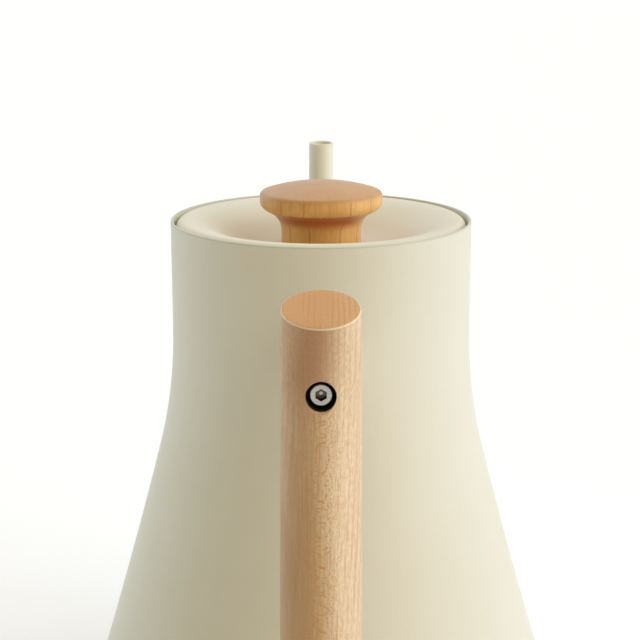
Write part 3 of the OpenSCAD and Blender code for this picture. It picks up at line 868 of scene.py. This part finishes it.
# Knob: turned from the same beech, on a thin silicone pad. A shallow dome meets a rounded edge, and a
# deep cove runs down to the stem. A brass insert in its foot takes the screw from inside the lid.
knob_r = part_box("lid_knob")[1].x / MM
knob_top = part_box("lid_knob")[1].z / MM
knob_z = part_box("lid_knob")[0].z / MM
knob_band_z = rim_z + 5.2
knob_band_h = 1.15
knob_low_r = 3.0
knob_top_r = 1.45
cove_r = 5.85
cove_angle = 62
insert_r = 3.05
insert_bore_l = 11.0
foot_edge = 0.3
dome_rise = knob_top - knob_band_z - knob_band_h - knob_top_r
dome_angle = 2 * math.atan(dome_rise / (knob_r - knob_top_r))
dome_r = (knob_r - knob_top_r) / math.sin(dome_angle) + knob_top_r
cove_turn = math.radians(cove_angle)
cove_end = np.array([stem_r + cove_r * (1 - math.cos(cove_turn)), 0.0])
cove_start = np.array([knob_r - knob_low_r * (1 - math.cos(cove_turn)),
                       knob_band_z - knob_low_r * math.sin(cove_turn)])
cove_end[1] = cove_start[1] - (cove_start[0] - cove_end[0]) / math.tan(cove_turn)
stem_top = cove_end[1] - cove_r * math.sin(cove_turn)
dome_degrees = math.degrees(dome_angle)
knob_line = np.concatenate([
    [[0, knob_z + insert_bore_l], [insert_r, knob_z + insert_bore_l], [insert_r, knob_z],
     [stem_r - foot_edge, knob_z], [stem_r, knob_z + foot_edge]],
    np.stack([np.full(7, stem_r), np.linspace(knob_z + 2 * foot_edge, stem_top, 8)[:-1]], axis=1),
    arc((stem_r + cove_r, stem_top), cove_r, 180, 180 - cove_angle, 18),
    arc((knob_r - knob_low_r, knob_band_z), knob_low_r, -cove_angle, 0, 12),
    arc((knob_r - knob_top_r, knob_band_z + knob_band_h), knob_top_r, 0, 90 - dome_degrees, 10),
    arc((0, knob_top - dome_r), dome_r, 90 - dome_degrees, 90, 24)[1:-1], [[0, knob_top]]])
knob = skinned("lid_knob_wood", turned(knob_line, 224), loop=False)


# Its wood: growth rings round a pith in front of the middle, so they stand as thin lines on the stem,
# open out under the head and arch over the dome. It is oiled darker than the grip. The cove under the head
# is painted dark, a painted shade, the end grain of the dome is duller, and two pin knots show under the
# head. The knob is painted paler towards its right and on the stem's left edge: painted light.
knob_wood, tree, shader, place = new_material("turned_beech")
knob_pale = (0.860, 0.510, 0.180, 1)
knob_warm = (0.590, 0.270, 0.065, 1)
knob_dark = (0.390, 0.115, 0.035, 1)
knob_end = (0.405, 0.215, 0.083, 1)
cove_painted_shade = (0.430, 0.096, 0.004, 1)
pith = (0.00165, -0.0150, 0)
ring_spacing = 0.0064
pin_knots = ((0.0009, -0.0157, rim_height + 0.0028), (-0.0081, -0.0134, rim_height + 0.0030))
axes = add(tree, "SeparateXYZ", {0: place})
rise = combined(tree, "SUBTRACT", axes.outputs["Z"], rim_height)
warp = noise(tree, scaled(tree, place, (150, 150, 45)), 1, 2)
warp = combined(tree, "MULTIPLY_ADD", warp, 0.0012, -0.0006)
from_pith = add(tree, "VectorMath", {0: place, 1: pith}, operation="SUBTRACT").outputs[0]
from_pith = combined(tree, "ADD", off_axis(tree, from_pith), warp)
rings = ring_lines(tree, from_pith, ring_spacing, 0.975)
thin_rings = ring_lines(tree, from_pith, ring_spacing / 5, 0.55)
broad = striped(tree, place, (160, 160, 40), 0.36, 0.64, 2)
fine = striped(tree, place, (2400, 2400, 120), 0.35, 0.70, 3)
pores = striped(tree, place, (4200, 4200, 520), 0.63, 0.72, 1)
on_dome = ramped(tree, rise, 0.0061, 0.0076)
on_stem = ramped(tree, rise, 0.0010, -0.0012)
# Painted light: the knob is painted paler towards its right side and on the stem's left edge.
lit_right_mask = ramped(tree, axes.outputs["X"], 0.0005, 0.0110)
lit_left_mask = combined(tree, "MULTIPLY", ramped(tree, axes.outputs["X"], -0.0030, -0.0085), on_stem)
sides = combined(tree, "MAXIMUM", lit_right_mask, lit_left_mask)
tone = combined(tree, "MULTIPLY_ADD", broad, 0.25, combined(tree, "MULTIPLY_ADD", fine, 0.20, 0.40))
tone = combined(tree, "MULTIPLY_ADD", sides, -0.40, tone)
tone = mixed(tree, tone, knob_pale, knob_warm)
tone = layered(tree, tone, 0.16, thin_rings, knob_warm)
tone = layered(tree, tone, 0.48, combined(tree, "MULTIPLY", rings, ramped(tree, on_dome, 0, 1, 1, 0.25)),
               knob_dark)
tone = layered(tree, tone, 0.25, pores, knob_dark)
tone = layered(tree, tone, 0.66, on_dome, knob_end)
# Painted shade: the cove under the knob's head is painted dark, less towards its sides.
cove = combined(tree, "MULTIPLY", ramped(tree, rise, -0.0024, 0.0010), ramped(tree, rise, 0.0032, 0.0024))
from_middle = combined(tree, "ABSOLUTE", axes.outputs["X"], 0)
cove = combined(tree, "MULTIPLY", cove, ramped(tree, from_middle, 0.0125, 0.0070, 0.25, 1.0))
tone = layered(tree, tone, 0.95, cove, cove_painted_shade)
for knot in pin_knots:
    from_knot = add(tree, "VectorMath", {0: place, 1: knot}, operation="DISTANCE").outputs["Value"]
    tone = layered(tree, tone, 0.80, ramped(tree, from_knot, 0.0007, 0.0003), knob_dark)
tree.links.new(tone, shader.inputs["Base Color"])
tree.links.new(ramped(tree, fine, 0, 1, 0.44, 0.58), shader.inputs["Roughness"])
shader.inputs["Specular IOR Level"].default_value = 0.45
shader.inputs["Sheen Weight"].default_value = 0.22
shader.inputs["Sheen Roughness"].default_value = 0.35
bumped(tree, shader, combined(tree, "SUBTRACT", fine, pores), 0.00003, 0.6)
fitted(knob, "lid", knob_wood, "knob_wood", "lid_knob")


# Knob fastening: a thin silicone pad under the foot, a brass insert pressed into the wood, and an M4
# socket-head screw on a plain washer, driven up from inside the lid.
pad_low, pad_high = (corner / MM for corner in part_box("knob_gasket"))
pad_edge = 0.25
pad_rounding_r = pad_high.x - pad_edge
pad_line = np.concatenate([
    [[screw_hole_d / 2, pad_low.z]],
    arc((pad_rounding_r, pad_low.z + pad_edge), pad_edge, -90, 0, 5),
    arc((pad_rounding_r, pad_high.z - pad_edge), pad_edge, 0, 90, 5),
    [[screw_hole_d / 2, pad_high.z]]])
knob_pad = skinned("knob_pad", turned(pad_line, 128))
fitted(knob_pad, "lid", silicone, "silicone", "knob_gasket")
brass = brushed("turned_brass", (0.50, 0.34, 0.12, 1), (0.74, 0.55, 0.24, 1), 60, 0.34)
dressed("knob_insert", brass)
dressed("knob_washer", steel)
m4_r = 2.0
m4_head_r = 4.0
m4_head_h = 2.4
m4_socket = 1.25
m4_socket_depth = 1.4
m4_length = 21.0
m4_pitch = 0.7
washer_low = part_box("knob_washer")[0].z / MM
screw_grid = socket_screw(m4_head_r, m4_head_h, m4_socket, m4_socket_depth, m4_r, m4_length, m4_pitch)
turned_over = screw_grid * np.array([1, -1, -1]) + np.array([0, 0, washer_low])
knob_screw = skinned("lid_screw", turned_over, loop=False)
fitted(knob_screw, "lid", fastener_steel, "screw_steel", "knob_screw")


# Whistle: a short steel tube brazed into the pan, with two drilled brass discs a little apart. Steam
# that passes both holes sounds them, and leaves by the vents under the knob's head.
dressed("whistle_tube", steel)
dressed("whistle_upper_disc", brass)
dressed("whistle_lower_disc", brass)
